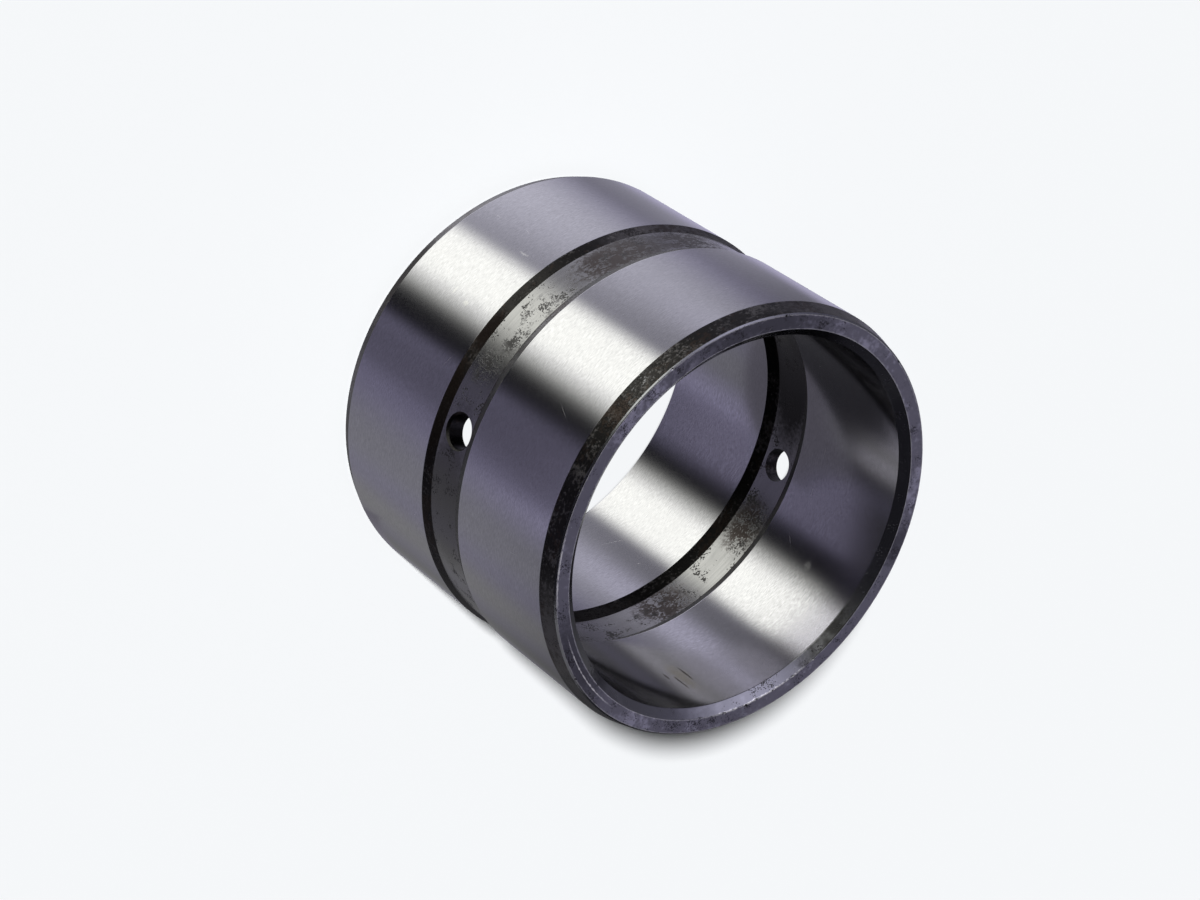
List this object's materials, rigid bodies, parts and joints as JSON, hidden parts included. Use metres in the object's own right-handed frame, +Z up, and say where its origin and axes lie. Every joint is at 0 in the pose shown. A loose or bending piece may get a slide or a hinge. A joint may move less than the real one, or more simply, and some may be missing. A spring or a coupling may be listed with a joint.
{
  "type": "sleeve bearing",
  "caption": "Turned steel sleeve bearing with a ground bore and outside, lead chamfers, a shallow oil groove outside and inside, and oil holes that join them.",
  "frame": {"origin": "centre of the bottom end face, on the bore's axis", "axes": "+Z up along the bore's axis, X through the oil holes"},
  "size_m": [0.092, 0.092, 0.075],
  "materials": {
    "ground_steel": "ground grey steel outside and in the bore, dark heat-treated skin on the end chamfers and in the grooves"
  },
  "bodies": {
    "root": {"sleeve": "ground_steel"}
  },
  "joints": []
}
